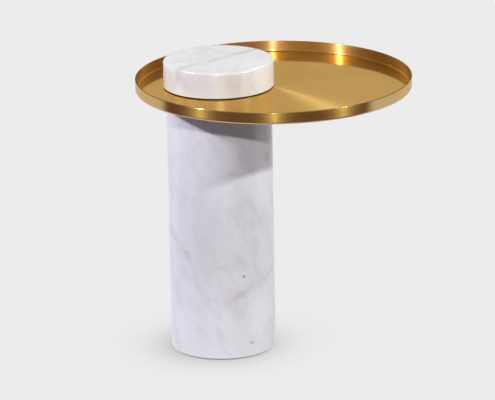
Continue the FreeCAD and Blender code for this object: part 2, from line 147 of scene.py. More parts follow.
class SideTableColours(bpy.types.PropertyGroup):
    """Colours of the finishes, linear."""

    stone: colour("Stone", (0.80, 0.79, 0.80), "Body of the marble")
    # Painted cool shade, low on the cap's side and behind it.
    stone_cool: colour("Painted cool shade", (0.52, 0.585, 0.71), "Cool grey low on the cap's side")
    # Painted cool light: the cool tint that the column's left side, where the left lamp falls, is
    # multiplied by.
    lavender: colour("Lavender", (0.905, 0.895, 1.0), "Cool tint multiplied onto the column's left side, painted light")
    # Also painted shade: on the column's front and foot, and on the cap's top.
    stone_cloud: colour("Stone cloud", (0.62, 0.61, 0.64), "Grey clouds and smudges, and painted shade")
    stone_vein: colour("Stone vein", (0.43, 0.405, 0.415), "Grey veins")
    stone_rose: colour("Stone rose", (0.62, 0.47, 0.52), "Pink veins")
    stone_ochre: colour("Stone ochre", (0.55, 0.43, 0.30), "Rusty spots and patches")
    stone_pit: colour("Stone pit", (0.10, 0.10, 0.11), "Small dark inclusions")
    brass: colour("Brass", (0.70, 0.423, 0.114), "Lacquered brass of the tray")
    brass_dark: colour("Brass dark", (0.50, 0.285, 0.066), "Depths of the turned grooves")
    brass_brushed: colour("Brass brushed", (0.69, 0.435, 0.125), "Brass in the brushed grooves")
    # Painted glint tints of the fine ridges: paler than the brass on the floor.
    brass_ridge: colour("Ridges painted glint", (0.76, 0.585, 0.225), "Pale tint of the ridges, painted glint")
    # Painted shade inside the rim.
    brass_shade: colour("Brass shade", (0.94, 0.84, 0.80), "What brass is multiplied by inside the rim")
    # Paler painted glints inside the rim.
    brass_inside: colour("Brass inside the rim", (0.90, 0.80, 0.50), "Ridges on the inside of the rim")
    # Deep gold painted glints outside the rim.
    brass_outside: colour("Brass outside the rim", (0.80, 0.48, 0.09), "Ridges on the outside of the rim")
    # Painted reflection: a paler polish outside the rim.
    brass_rim: colour("Brass rim", (0.76, 0.58, 0.36), "Polished brass on the outside of the rim")
    brass_edge: colour("Brass edge tint", (0.85, 0.70, 0.50), "Tint of polished brass at a grazing angle")
    brass_sheen: colour("Brass sheen", (0.96, 0.93, 0.78), "Tint of brushed brass at a grazing angle")
    steel: colour("Steel", (0.50, 0.51, 0.52), "Turned steel of the hub, plates, sleeve and flange")
    zinc: colour("Zinc", (0.58, 0.59, 0.60), "Plated fasteners")
    insert: colour("Insert brass", (0.60, 0.43, 0.18), "Bare brass of the inserts")
    rubber: colour("Rubber", (0.028, 0.028, 0.030), "Gaskets")
    pad: colour("Pad", (0.26, 0.26, 0.27), "Grey rubber under the column")
    nylon: colour("Nylon", (0.045, 0.043, 0.041), "Thrust rings and bush")
    paper: colour("Paper", (0.8388, 0.8388, 0.8388), "Backdrop and floor, as the camera sees them")


class SideTableStudio(bpy.types.PropertyGroup):
    """Camera, lamps and background. Lamp azimuths count from the camera's side, positive to the right."""

    camera_place: FloatVectorProperty(name="Camera place", description="Where the camera stands",
                                      default=(0.9754, -6.9319, 2.4076), size=3, subtype="TRANSLATION")
    camera_turn: angle("Camera turn", 7.615, "Turn of the camera about the vertical")
    camera_dip: angle("Camera dip", 16.941, "How far the camera looks down")
    camera_roll: angle("Camera roll", -1.045, "Roll of the camera about its own axis")
    lens: amount("Lens", 291.45, "Focal length in millimetres on a sensor 36 mm wide")
    front_lamp: amount("Front lamp", 0.365, "Brightness of a white surface that faces the front lamp")
    right_lamp: amount("Right lamp", 0.55, "The same for the lamp on the right")
    left_lamp: amount("Left lamp", 0.68, "The same for the lamp on the left")
    back_lamp: amount("Back lamp", 0.16, "The same for the lamp high behind the table")
    zenith_fill: amount("Fill from above", 0.1, "Brightness of the studio straight above")
    level_fill: amount("Fill from the front", 0.1, "Brightness of the studio at eye level, in front")
    paper_fill: amount("Fill from the paper", 1.22, "The same at the sides and behind")
    mirror_warmth: colour("Mirrored warmth", (1.0, 0.86, 0.70), "Tint of the room in polished metal")
    mirror_low: colour("Dark room below", (0.093, 0.036, 0.036), "What polished metal finds low in front")
    mirror_front: amount("Room in front", 0.42, "Brightness that polished metal finds in front, higher up")
    mirror_back: amount("Room behind", 0.745, "The same behind")
    mirror_side: amount("Room at the sides", 0.25, "The same at the sides")
    mirror_zenith: amount("Ceiling", 0.32, "The same overhead")
    floor_return: amount("Floor return", 0.19, "How much of the lamps' light the floor sends back up")
    shadow_share: amount("Shadow share", 0.03, "Part of the floor's brightness that the lamps give")


class SideTableSettings(bpy.types.PropertyGroup):
    """All that can be set."""

    sizes: PointerProperty(name="Sizes", description="Sizes of the pieces", type=SideTableSizes)
    colours: PointerProperty(name="Colours", description="Colours of the finishes", type=SideTableColours)
    studio: PointerProperty(name="Studio", description="Camera, lamps and world", type=SideTableStudio)


def feed(tree, socket, source):
    """Links a socket to another one, or sets its value."""
    if isinstance(source, bpy.types.NodeSocket):
        tree.links.new(source, socket)
    elif isinstance(source, (int, float, str)):
        socket.default_value = source
    else:
        numbers = tuple(source)
        missing = len(socket.default_value) - len(numbers)
        socket.default_value = numbers + (1.0,) * missing


def node(tree, kind, inputs=None, **settings):
    """A shader node with its settings, and what goes into its inputs by their names or numbers."""
    made = tree.nodes.new("ShaderNode" + kind)
    for name, setting in settings.items():
        setattr(made, name, setting)
    for socket, source in (inputs or {}).items():
        feed(tree, made.inputs[socket], source)
    return made


def maths(tree, operation, *sources):
    return node(tree, "Math", dict(enumerate(sources)), operation=operation).outputs["Value"]


def vector_maths(tree, operation, *sources):
    made = node(tree, "VectorMath", operation=operation)
    for socket, source in zip(made.inputs, sources):
        feed(tree, socket, source)
    return made.outputs["Value" if operation in ("LENGTH", "DOT_PRODUCT") else "Vector"]


def blended(tree, factor, first, second, blend_type="MIX"):
    """A colour between two others."""
    made = node(tree, "Mix", {0: factor, 6: first, 7: second}, data_type="RGBA", blend_type=blend_type)
    return made.outputs[2]


def spread(tree, source, low, high, to_low=0.0, to_high=1.0):
    """A value eased from one range to another."""
    inputs = {"Value": source, 1: low, 2: high, 3: to_low, 4: to_high}
    return node(tree, "MapRange", inputs, interpolation_type="SMOOTHSTEP").outputs["Result"]


def fading(tree, source, start, end):
    """1 up to a start, eased to 0 at an end."""
    return spread(tree, source, start, end, 1.0, 0.0)


def noise(tree, place, scale, detail=3.0, roughness=0.5, distortion=0.0):
    inputs = {"Vector": place, "Scale": scale, "Detail": detail, "Roughness": roughness,
              "Distortion": distortion}
    return node(tree, "TexNoise", inputs)


def tinted(tree, mask, strength, paint, tint, blend_type="MIX"):
    """A colour that goes over to a tint where a mask says, up to a strength."""
    return blended(tree, maths(tree, "MULTIPLY", mask, strength), paint, tint, blend_type)


def new_group(name, inputs, outputs):
    """An empty node group with sockets given as (name, kind, default), and the nodes that carry them."""
    group = bpy.data.node_groups.new(name, "ShaderNodeTree")
    for label, kind, default in inputs:
        socket = group.interface.new_socket(label, in_out="INPUT", socket_type="NodeSocket" + kind)
        if default is not None:
            socket.default_value = default
    for label, kind in outputs:
        group.interface.new_socket(label, in_out="OUTPUT", socket_type="NodeSocket" + kind)
    return group, group.nodes.new("NodeGroupInput").outputs, group.nodes.new("NodeGroupOutput").inputs


GROOVE_ROUGHNESS = 0.62
GROOVE_CONTRAST = (0.3, 0.7)


def turned_grooves(name):
    """Fine grooves round the Z axis, as a lathe tool or a brush leaves them."""
    group, given, out = new_group(
        name,
        [("Vector", "Vector", None), ("Pitch", "Float", 900.0), ("Drift", "Float", 1.5)],
        [("Tone", "Float"), ("Height", "Float")])
    parts = node(group, "SeparateXYZ", {0: given["Vector"]}).outputs
    flat = node(group, "CombineXYZ", {0: parts[0], 1: parts[1]}).outputs[0]
    reach = vector_maths(group, "LENGTH", flat)
    heading = node(group, "SeparateXYZ", {0: vector_maths(group, "NORMALIZE", flat)}).outputs
    place = node(group, "CombineXYZ", {
        0: maths(group, "MULTIPLY", reach, given["Pitch"]),
        1: maths(group, "MULTIPLY", heading[0], given["Drift"]),
        2: maths(group, "MULTIPLY", heading[1], given["Drift"]),
    }).outputs[0]
    lift = maths(group, "MULTIPLY", parts[2], given["Pitch"])
    for label, scale, detail in (("Tone", 0.16, 4.0), ("Height", 1.0, 2.0)):
        lines = node(group, "TexNoise", {"Vector": place, "W": lift, "Scale": scale, "Detail": detail,
                                         "Roughness": GROOVE_ROUGHNESS}, noise_dimensions="4D")
        feed(group, out[label], spread(group, lines.outputs["Fac"], *GROOVE_CONTRAST))
    return group


FINE_SMUDGES = 5.0  # how much finer the small smudges are than the broad ones
FINE_SMUDGE_SHARE = 0.35
SMUDGE_CONTRAST = (0.38, 0.64)


def handling_smudges(name):
    """Faint marks of wiping and fingers that change the gloss."""
    group, given, out = new_group(
        name, [("Vector", "Vector", None), ("Scale", "Float", 14.0)], [("Mask", "Float")])
    broad = noise(group, given["Vector"], given["Scale"], detail=2.0, distortion=0.4).outputs["Fac"]
    finer = maths(group, "MULTIPLY", given["Scale"], FINE_SMUDGES)
    fine = noise(group, given["Vector"], finer, roughness=0.6).outputs["Fac"]
    broad_part = maths(group, "MULTIPLY", broad, 1.0 - FINE_SMUDGE_SHARE)
    both = maths(group, "MULTIPLY_ADD", fine, FINE_SMUDGE_SHARE, broad_part)
    feed(group, out["Mask"], spread(group, both, *SMUDGE_CONTRAST))
    return group


STONE_TILT = (0.0, math.radians(37), 0.0)
STONE_STRETCH = (1.0, 1.0, 0.34)  # clouds are drawn out along the third axis of the tilted stone
CLOUD_CONTRAST = (0.40, 0.66)
PATCH_CONTRAST = (0.44, 0.64)
PATCH_CLOUD = (0.38, 0.58)  # how dense a cloud has to be for patches in it
GRAIN_CONTRAST = (0.35, 0.65)


def stone_body(name):
    """Clouds, smudges and crystal grain of white marble, and its place warped by the stone's flow."""
    group, given, out = new_group(
        name,
        [("Vector", "Vector", None), ("Warp", "Float", 0.02), ("Tilt", "Vector", STONE_TILT)],
        [("Warped", "Vector"), ("Cloud", "Float"), ("Smudge", "Float"), ("Grain", "Float")])
    flow = noise(group, given["Vector"], scale=9.0, roughness=0.55).outputs["Color"]
    push = vector_maths(group, "SCALE", vector_maths(group, "SUBTRACT", flow, (NOISE_MIDDLE,) * 3))
    feed(group, push.node.inputs["Scale"], given["Warp"])
    warped = vector_maths(group, "ADD", given["Vector"], push)
    feed(group, out["Warped"], warped)
    turned = node(group, "Mapping", {"Vector": warped, "Rotation": given["Tilt"]}).outputs["Vector"]
    drawn = vector_maths(group, "MULTIPLY", turned, STONE_STRETCH)
    cloud = noise(group, drawn, scale=14.0, detail=4.0, roughness=0.56).outputs["Fac"]
    feed(group, out["Cloud"], spread(group, cloud, *CLOUD_CONTRAST))
    patch = noise(group, drawn, scale=52.0, detail=5.0, roughness=0.66).outputs["Fac"]
    patches = spread(group, patch, *PATCH_CONTRAST)
    feed(group, out["Smudge"], maths(group, "MULTIPLY", patches, spread(group, cloud, *PATCH_CLOUD)))
    grain = noise(group, given["Vector"], scale=620.0, detail=2.0, roughness=0.6).outputs["Fac"]
    feed(group, out["Grain"], spread(group, grain, *GRAIN_CONTRAST))
    return group


VEIN_BREAKS = (0.36, 0.62)


def stone_vein(name):
    """A thin sheet of colour through the stone, seen as a line where it meets the surface."""
    group, given, out = new_group(
        name,
        [("Vector", "Vector", None), ("Across", "Vector", (1.0, 0.0, 0.0)), ("Offset", "Float", 0.0),
         ("Width", "Float", 0.004), ("Breaks", "Float", 22.0)],
        [("Mask", "Float")])
    along = vector_maths(group, "DOT_PRODUCT", given["Vector"], given["Across"])
    gap = maths(group, "ABSOLUTE", maths(group, "SUBTRACT", along, given["Offset"]))
    line = fading(group, gap, 0.0, given["Width"])
    broken = noise(group, given["Vector"], given["Breaks"], detail=2.0).outputs["Fac"]
    feed(group, out["Mask"], maths(group, "MULTIPLY", line, spread(group, broken, *VEIN_BREAKS)))
    return group


SPOT_EDGE = (0.25, 1.0)  # shares of its reach at which a spot starts to fade and ends


def stone_spot(name):
    """A soft spot of colour at a place in the stone, with its reach along each axis."""
    group, given, out = new_group(
        name,
        [("Vector", "Vector", None), ("Centre", "Vector", None), ("Reach", "Vector", (0.01, 0.01, 0.01)),
         ("Ragged", "Float", 0.5)],
        [("Mask", "Float")])
    away = vector_maths(group, "SUBTRACT", given["Vector"], given["Centre"])
    far = vector_maths(group, "LENGTH", vector_maths(group, "DIVIDE", away, given["Reach"]))
    ragged = noise(group, given["Vector"], scale=130.0, roughness=0.6).outputs["Fac"]
    edge = maths(group, "MULTIPLY", maths(group, "SUBTRACT", ragged, NOISE_MIDDLE), given["Ragged"])
    feed(group, out["Mask"], fading(group, maths(group, "ADD", far, edge), *SPOT_EDGE))
    return group


def placed(tree, build, **inputs):
    """The outputs of a node group put into a tree. The group is built when it is first asked for."""
    name = build.__name__.replace("_", " ").capitalize()
    made = tree.nodes.new("ShaderNodeGroup")
    made.node_tree = bpy.data.node_groups.get(name) or build(name)
    for label, source in inputs.items():
        feed(tree, made.inputs[label.capitalize()], source)
    return made.outputs


def new_material(name):
    """A material with its node tree, its output's Surface and the piece's own coordinates."""
    material = bpy.data.materials.new(name)
    material.use_nodes = True
    tree = material.node_tree
    tree.nodes.clear()
    surface = tree.nodes.new("ShaderNodeOutputMaterial").inputs["Surface"]
    place = tree.nodes.new("ShaderNodeTexCoord").outputs["Object"]
    return material, tree, surface, place


def centred(tree, place, centre):
    """Coordinates moved so that a point of the piece is their origin."""
    back = -Vector(centre)
    return node(tree, "Mapping", {"Vector": place, "Location": back}).outputs["Vector"]


def across_grooves(tree, place):
    """The direction over the surface and across grooves that run round Z, as a tangent in the scene."""
    parts = node(tree, "SeparateXYZ", {0: place}).outputs
    back_y = maths(tree, "MULTIPLY", parts[1], -1.0)
    round_z = node(tree, "CombineXYZ", {0: back_y, 1: parts[0]}).outputs[0]
    moved = node(tree, "VectorTransform", {"Vector": round_z}, vector_type="VECTOR", convert_from="OBJECT",
                 convert_to="WORLD").outputs["Vector"]
    facing = tree.nodes.new("ShaderNodeNewGeometry").outputs["Normal"]
    return vector_maths(tree, "NORMALIZE", vector_maths(tree, "CROSS_PRODUCT", facing, moved))


def roughened(tree, mask, least, more):
    """A roughness that starts from the least and has more where a mask says."""
    return maths(tree, "MULTIPLY_ADD", mask, more, least)


def relief(tree, height, strength, distance):
    """The normal of a surface that a height raises."""
    bump = node(tree, "Bump", {"Strength": strength, "Distance": distance, "Height": height})
    return bump.outputs["Normal"]


def metal(tree, paint, roughness, inputs):
    """The shader of a metal."""
    base = {"Base Color": paint, "Metallic": 1.0, "Roughness": roughness}
    return node(tree, "BsdfPrincipled", base | inputs).outputs["BSDF"]


def toned(paint, factor, lift=0.0):
    """A colour made darker or paler."""
    return tuple(channel * factor + lift for channel in paint)


def wall_marker(radius):
    """A function that gives the spot of a mark on an upright wall of this radius, for marble."""
    def mark(azimuth, level, reach, ragged, tint, strength):
        turn = math.radians(azimuth)
        return (radius * math.cos(turn), radius * math.sin(turn), level), reach, ragged, tint, strength
    return mark


CLOUD_STRENGTH = 0.22
SMUDGE_STRENGTH = 0.60
COOL_DRIFT = 0.035  # how far clouds push the edge of the painted cool light, along X
COOL_EDGE = (-0.05, 0.06)  # where the painted cool light starts to fade along X, and where it is at its least
COOL_LEAST = 0.4
LONG_VEIN_WOBBLE = 0.024
LONG_VEIN_BREAKS = (0.38, 0.62)
LONG_VEIN_LEAST = 0.3  # what is left of the vein in a break
# half width, colour and strength of each band
LONG_VEIN_BANDS = ((0.024, "stone_cloud", 0.50), (0.012, "stone_vein", 0.16))
GRAIN_DARKEST = 0.97
STONE_WEAR = 0.06
STONE_IOR = 1.6


def long_vein(tree, place, warped, course, colours, paint):
    """Paints one long vein round a wall, along a course of (azimuth, level) pairs from -180 to 180."""
    parts = node(tree, "SeparateXYZ", {0: warped}).outputs
    turn = maths(tree, "ARCTAN2", parts[1], parts[0])
    share = node(tree, "MapRange", {"Value": turn, 1: -math.pi, 2: math.pi}).outputs["Result"]
    line = node(tree, "FloatCurve", {"Value": share})
    curve = line.mapping.curves[0]
    for azimuth, level in course[1:-1]:
        curve.points.new(azimuth / 360 + 0.5, level)
    curve.points[0].location = (0.0, course[0][1])
    curve.points[-1].location = (1.0, course[-1][1])
    line.mapping.update()
    ripple = noise(tree, place, scale=70.0, roughness=0.6).outputs["Fac"]
    wobble = maths(tree, "SUBTRACT", ripple, NOISE_MIDDLE)
    level = maths(tree, "MULTIPLY_ADD", wobble, LONG_VEIN_WOBBLE, line.outputs["Value"])
    gap = maths(tree, "ABSOLUTE", maths(tree, "SUBTRACT", parts[2], level))
    broken = noise(tree, place, scale=24.0).outputs["Fac"]
    breaks = spread(tree, broken, *LONG_VEIN_BREAKS, LONG_VEIN_LEAST, 1.0)
    for width, tint, strength in LONG_VEIN_BANDS:
        band = maths(tree, "MULTIPLY", fading(tree, gap, 0.0, width), breaks)
        paint = tinted(tree, band, strength, paint, getattr(colours, tint))
    return paint


def marble(name, settings, gloss, vein_course=None, sheets=(), spots=(), cool=0.0):
    """Polished white marble.

    gloss is its lowest roughness, and vein_course is what long_vein follows. sheets lists (across,
    offset, width, colour, strength) of plane veins, and spots lists (centre, reach, ragged, colour,
    strength). cool is how strong the painted cool light is where it is strongest, on the side away from
    +X, which the left lamp lights.
    """
    colours = settings.colours
    material, tree, surface, place = new_material(name)
    body = placed(tree, stone_body, vector=place)
    paint = tinted(tree, body["Cloud"], CLOUD_STRENGTH, colours.stone, colours.stone_cloud)
    # Painted cool light on the side away from +X, which the left lamp lights. The clouds wobble its edge.
    if cool:
        side = node(tree, "SeparateXYZ", {0: place}).outputs[0]
        drift = maths(tree, "MULTIPLY_ADD", body["Cloud"], COOL_DRIFT, side)
        left = spread(tree, drift, *COOL_EDGE, 1.0, COOL_LEAST)
        paint = tinted(tree, left, cool, paint, colours.lavender, "MULTIPLY")
    paint = tinted(tree, body["Smudge"], SMUDGE_STRENGTH, paint, colours.stone_cloud)
    if vein_course:
        paint = long_vein(tree, place, body["Warped"], vein_course, colours, paint)
    for across, offset, width, tint, strength in sheets:
        vein = placed(tree, stone_vein, vector=body["Warped"], across=across, offset=offset, width=width)
        paint = tinted(tree, vein["Mask"], strength, paint, tint)
    for centre, reach, ragged, tint, strength in spots:
        spot = placed(tree, stone_spot, vector=place, centre=centre, reach=reach, ragged=ragged)
        paint = tinted(tree, spot["Mask"], strength, paint, tint)
    shade = spread(tree, body["Grain"], 0.0, 1.0, GRAIN_DARKEST, 1.0)
    grain = node(tree, "CombineColor", {0: shade, 1: shade, 2: shade}).outputs[0]
    paint = blended(tree, 1.0, paint, grain, "MULTIPLY")
    smudges = placed(tree, handling_smudges, vector=place, scale=9.0)
    roughness = roughened(tree, smudges["Mask"], gloss, STONE_WEAR)
    feed(tree, surface, node(tree, "BsdfPrincipled", {
        "Base Color": paint, "Roughness": roughness, "IOR": STONE_IOR,
    }).outputs["BSDF"])
    return material


LIP = (0.75, 0.25)  # shares of the sheet, in from its outside, between which the rim's outside begins
BEND = (0.0005, 0.003)  # heights above the floor between which the rim begins
WORKED_SHARES = (0.20, 0.58)  # of brushed and ridged brass on the floor, and on the rim
RIDGE_SHARE = 0.36  # of the worked brass
POLISHED_TONE = 0.12  # how much the grooves darken the polish
BRUSHED_TONE = 0.2  # how much of the polish's colour the brushed grooves take


def lacquered_brass(settings):
    """Spun brass: a polish, grooves brushed round the tray's centre, and fine ridges between them.

    The floor is mostly polished, and the rim more worked. Inside the rim, painted shade darkens the brass
    and the ridges' painted glints are paler; outside it, a paler polish is painted reflection and the
    glints are deeper gold.
    """
    colours = settings.colours
    sizes = settings.sizes
    material, tree, surface, place = new_material("Lacquered brass")
    middle = centred(tree, place, (sizes.tray_offset, 0.0, 0.0))
    grooves = placed(tree, turned_grooves, vector=middle, pitch=1500.0, drift=1.3)
    smudges = placed(tree, handling_smudges, vector=middle, scale=8.0)
    across = across_grooves(tree, middle)
    parts = node(tree, "SeparateXYZ", {0: middle}).outputs
    flat = node(tree, "CombineXYZ", {0: parts[0], 1: parts[1]}).outputs[0]
    lip = [sizes.tray_radius - share * sizes.tray_sheet for share in LIP]
    # The rim's outer face, where the polish is paler as painted reflection and the glints deeper gold.
    outside = spread(tree, vector_maths(tree, "LENGTH", flat), *lip)
    bend = [bottom("tray_pan") + sizes.tray_sheet + height for height in BEND]
    wall = spread(tree, parts[2], *bend)
    # The rim's inner face, where the brass gets painted shade and paler painted glints.
    inside = maths(tree, "MULTIPLY", wall, maths(tree, "SUBTRACT", 1.0, outside))

    paint = tinted(tree, grooves["Tone"], POLISHED_TONE, colours.brass, colours.brass_dark)
    # Painted shade darkens the polish inside the rim.
    paint = blended(tree, inside, paint, colours.brass_shade, "MULTIPLY")
    # Painted reflection: a paler polish on the outside of the rim.
    paint = blended(tree, outside, paint, colours.brass_rim)
    gloss = roughened(tree, smudges["Mask"], least=0.06, more=0.03)
    polished = metal(tree, paint, gloss, {"Specular Tint": colours.brass_edge})

    paint = tinted(tree, grooves["Tone"], BRUSHED_TONE, colours.brass_brushed, colours.brass)
    # Painted shade darkens the brushed brass inside the rim.
    paint = blended(tree, inside, paint, colours.brass_shade, "MULTIPLY")
    gloss = roughened(tree, grooves["Tone"], least=0.36, more=0.06)
    brushed = metal(tree, paint, gloss, {
        "Specular Tint": colours.brass_sheen, "Anisotropic": 0.85, "Tangent": across,
        "Normal": relief(tree, grooves["Height"], strength=0.12, distance=0.00002),
    })

    # Painted glints: the ridges are tinted pale on the floor, paler inside the rim and deep gold outside
    # it, for how bright their glints read in each place.
    paint = blended(tree, inside, colours.brass_ridge, colours.brass_inside)
    paint = blended(tree, outside, paint, colours.brass_outside)
    gloss = roughened(tree, grooves["Tone"], least=0.22, more=0.04)
    ridged = metal(tree, paint, gloss, {
        "Specular Tint": colours.brass_sheen, "Anisotropic": 1.0, "Tangent": across,
    })

    worked = node(tree, "MixShader", {0: RIDGE_SHARE, 1: brushed, 2: ridged}).outputs["Shader"]
    share = spread(tree, parts[2], *bend, *WORKED_SHARES)
    feed(tree, surface, node(tree, "MixShader", {0: share, 1: polished, 2: worked}).outputs["Shader"])
    return material


def turned_metal(name, paint, roughness, pitch):
    """Bare metal with turned grooves about the column's axis."""
    material, tree, surface, place = new_material(name)
    grooves = placed(tree, turned_grooves, vector=place, pitch=pitch, drift=1.0)
    smudges = placed(tree, handling_smudges, vector=place, scale=30.0)
    grooved = blended(tree, grooves["Tone"], paint, toned(paint, factor=0.8))
    gloss = roughened(tree, smudges["Mask"], roughness, more=0.12)
    feed(tree, surface, metal(tree, grooved, gloss, {
        "Anisotropic": 0.6, "Tangent": across_grooves(tree, place),
        "Normal": relief(tree, grooves["Height"], strength=0.2, distance=0.00005),
    }))
    return material


def plated_metal(name, paint, roughness, thread_pitch=0.0):
    """Plated fasteners, with the flanks of a thread where a pitch is given."""
    material, tree, surface, place = new_material(name)
    smudges = placed(tree, handling_smudges, vector=place, scale=60.0)
    if thread_pitch:
        parts = node(tree, "SeparateXYZ", {0: place}).outputs
        turn = maths(tree, "DIVIDE", maths(tree, "ARCTAN2", parts[1], parts[0]), math.tau)
        rise = maths(tree, "ADD", maths(tree, "DIVIDE", parts[2], thread_pitch), turn)
        flanks = maths(tree, "PINGPONG", rise, 0.5)
        normal = relief(tree, flanks, strength=0.5, distance=thread_pitch)
    else:
        grain = noise(tree, place, scale=900.0, roughness=0.6).outputs["Fac"]
        normal = relief(tree, grain, strength=0.5, distance=0.00004)
    smudged = blended(tree, smudges["Mask"], paint, toned(paint, factor=0.72))
    gloss = roughened(tree, smudges["Mask"], roughness, more=0.15)
    feed(tree, surface, metal(tree, smudged, gloss, {"Normal": normal}))
    return material


def moulded(name, paint, roughness, grain, depth):
    """Rubber or plastic with a fine moulded grain and a little dust."""
    material, tree, surface, place = new_material(name)
    smudges = placed(tree, handling_smudges, vector=place, scale=40.0)
    cells = node(tree, "TexVoronoi", {"Vector": place, "Scale": grain}).outputs["Distance"]
    dusty = toned(paint, factor=1.3, lift=0.012)
    feed(tree, surface, node(tree, "BsdfPrincipled", {
        "Base Color": blended(tree, smudges["Mask"], paint, dusty),
        "Roughness": roughened(tree, smudges["Mask"], roughness, more=0.14),
        "Normal": relief(tree, cells, strength=0.4, distance=depth),
    }).outputs["BSDF"])
    return material


def section_wire(corners, rounds, centre=(0.0, 0.0), closed=True):
    """A bmesh of the outline of (radius, level) corners, with the numbered corners rounded.

    A point is added just past each rounding, so that smooth shading keeps the flats flat.
    """
    bm = bmesh.new()
    points = [Vector((centre[0] + radius, centre[1], level)) for radius, level in corners]
    verts = []
    rounded = []
    for number, point in enumerate(points):
        radius = rounds.get(number)
        if radius:
            before = (points[number - 1] - point).normalized()
            after = (points[(number + 1) % len(points)] - point).normalized()
            verts.append(bm.verts.new(point + before * (radius + HOLD)))
            verts.append(bm.verts.new(point))
            rounded.append((verts[-1], radius))
            verts.append(bm.verts.new(point + after * (radius + HOLD)))
        else:
            verts.append(bm.verts.new(point))
    for first, second in zip(verts, verts[1:]):
        bm.edges.new((first, second))
    if closed:
        bm.edges.new((verts[-1], verts[0]))
    for vert, radius in rounded:
        bmesh.ops.bevel(bm, geom=[vert], offset=radius, offset_type="ABSOLUTE", segments=ROUND_SEGMENTS,
                        profile=0.5, affect="VERTICES", material=-1)
    return bm


def spin_round(bm, centre=(0.0, 0.0)):
    """Spins an outline once round the vertical through a centre."""
    bmesh.ops.spin(bm, geom=bm.verts[:] + bm.edges[:], cent=(centre[0], centre[1], 0.0), axis=(0, 0, 1),
                   dvec=(0, 0, 0), angle=math.tau, steps=TURN_STEPS, use_merge=True)
    bmesh.ops.remove_doubles(bm, verts=bm.verts[:], dist=WELD)


def hole_rim(bm, place, radius, level):
    """The edges of a circle at a level."""
    made = bmesh.ops.create_circle(bm, cap_ends=False, radius=radius, segments=HOLE_STEPS,
                                   matrix=Matrix.Translation((place[0], place[1], level)))
    return list({edge for vert in made["verts"] for edge in vert.link_edges})


def open_rim(bm, level):
    """The open edges of a mesh at a level."""
    return [edge for edge in bm.edges
            if edge.is_boundary and all(abs(vert.co.z - level) < WELD for vert in edge.verts)]


def finished(name, bm, material, body, slot, *nodes):
    """Makes a bmesh a piece that rides on a body and stands for CAD nodes."""
    bmesh.ops.recalc_face_normals(bm, faces=bm.faces[:])
    mesh = bpy.data.meshes.new(name)
    bm.to_mesh(mesh)
    bm.free()
    mesh.shade_smooth()
    mesh.set_sharp_from_angle(angle=SHARP_ANGLE)
    mesh.materials.append(material)
    piece = bpy.data.objects.new(name, mesh)
    bpy.context.scene.collection.objects.link(piece)
    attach(piece, body)
    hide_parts(*nodes)


def fill_level(bm, edges, facing):
    """Fills a level area between its outer edges and the rims of its holes, facing up (1) or down (-1)."""
    bmesh.ops.triangle_fill(bm, use_beauty=True, use_dissolve=False, edges=edges, normal=(0, 0, facing))


def four_round(distance):
    """Four places at a distance from the column's axis."""
    return [(distance, 0.0), (0.0, distance), (-distance, 0.0), (0.0, -distance)]


